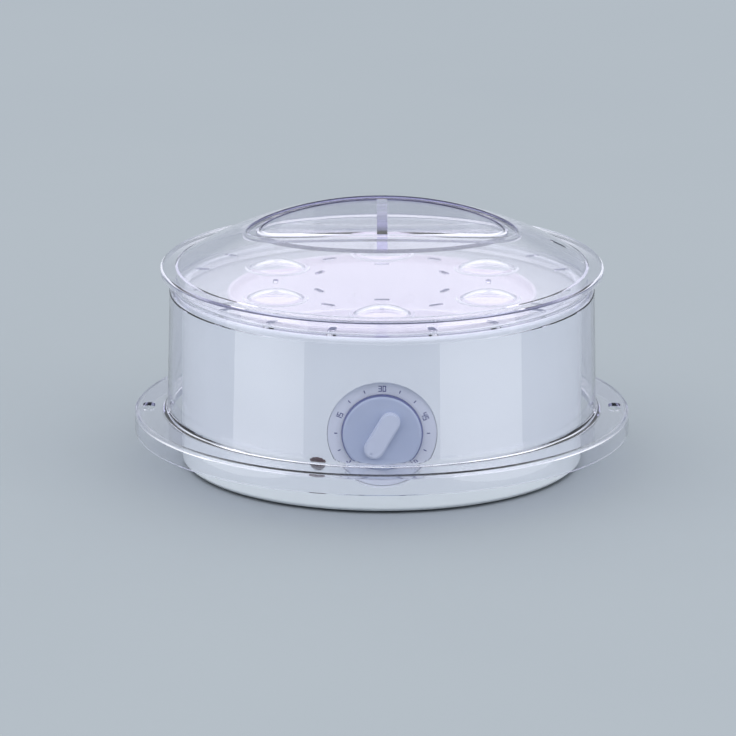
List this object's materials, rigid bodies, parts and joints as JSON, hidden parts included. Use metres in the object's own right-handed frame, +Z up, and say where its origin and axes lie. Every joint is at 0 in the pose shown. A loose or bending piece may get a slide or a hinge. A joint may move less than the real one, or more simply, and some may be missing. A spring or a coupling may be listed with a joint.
{
  "type": "electric food steamer",
  "caption": "Round countertop food steamer: a white drum with a wind-up timer dial, covered by an inverted clear vented bowl with hand slots and a clear domed lid with a finger pocket.",
  "frame": {"origin": "centre of the underside, on the surface it stands on", "axes": "+Z up along the drum's axis, -Y towards the dial at the front, +X to the right as seen from the front"},
  "size_m": [0.2896, 0.2896, 0.1503],
  "materials": {
    "white_shell": "gloss",
    "white_base": "matte",
    "white_insert": "satin",
    "screw_steel": "zinc plated",
    "plate_steel": "plain",
    "shaft_steel": "oiled",
    "foot_rubber": "matte",
    "dial_plastic": "satin",
    "dial_ink": "printed",
    "knob_plastic": "satin",
    "wheel_brass": "stamped",
    "cam_plastic": "moulded",
    "switch_plastic": "moulded",
    "lens_red": "gloss",
    "lamp_glass": "clear",
    "heater_metal": "cast",
    "seal_rubber": "silicone",
    "terminal_ceramic": "unglazed",
    "cutout_plastic": "moulded",
    "fuse_body": "unglazed",
    "wire_jacket": "sleeved",
    "clear_bowl": "clear",
    "clear_lid": "clear"
  },
  "bodies": {
    "base": {"base_housing": "white_shell", "bottom_cover": "white_base", "cover_screws": "screw_steel", "rubber_feet": "foot_rubber", "dial_plate": "dial_plastic", "dial_marks": "dial_ink", "timer_screws": "screw_steel", "timer_front_plate": "plate_steel", "timer_case": "plate_steel", "timer_mainspring": "shaft_steel", "timer_switch": "switch_plastic", "timer_bell": "wheel_brass", "neon_lens": "lens_red", "neon_lamp": "lamp_glass", "heater_plate": "heater_metal", "heater_seal": "seal_rubber", "heater_clamp": "plate_steel", "heater_screws": "screw_steel", "heater_terminals": "terminal_ceramic", "thermostat": "cutout_plastic", "thermal_fuse": "fuse_body", "terminal_block": "switch_plastic", "wiring_loom": "wire_jacket", "cord_gland": "foot_rubber"},
    "spindle": {"timer_knob": "knob_plastic", "timer_shaft": "shaft_steel", "timer_cam": "cam_plastic", "timer_main_wheel": "wheel_brass"},
    "second_wheel": {"timer_second_wheel": "wheel_brass"},
    "steam_ring": {"steam_ring": "white_insert"},
    "drip_tray": {"drip_tray": "white_insert"},
    "bowl": {"steaming_bowl": "clear_bowl"},
    "lid": {"lid": "clear_lid"}
  },
  "joints": [
    {"name": "timer_turn", "type": "hinge", "parent": "base", "child": "spindle", "pos_m": [0, -0.1125, 0.0472], "axis": [0, 1, 0], "range_deg": [0, 285]},
    {"name": "second_wheel_turn", "type": "hinge", "parent": "base", "child": "second_wheel", "pos_m": [-0.01273, -0.098, 0.03447], "axis": [0, 1, 0], "range_deg": [-1140, 0]},
    {"name": "steam_ring_lift", "type": "slide", "parent": "base", "child": "steam_ring", "axis": [0, 0, 1], "range_m": [0, 0.07]},
    {"name": "drip_tray_lift", "type": "slide", "parent": "steam_ring", "child": "drip_tray", "axis": [0, 0, 1], "range_m": [0, 0.05]},
    {"name": "bowl_lift", "type": "slide", "parent": "drip_tray", "child": "bowl", "axis": [0, 0, 1], "range_m": [0, 0.13]},
    {"name": "lid_lift", "type": "slide", "parent": "bowl", "child": "lid", "axis": [0, 0, 1], "range_m": [0, 0.08]}
  ],
  "couplings": [
    {"joint": "second_wheel_turn", "follows": "timer_turn", "ratio": -4}
  ]
}
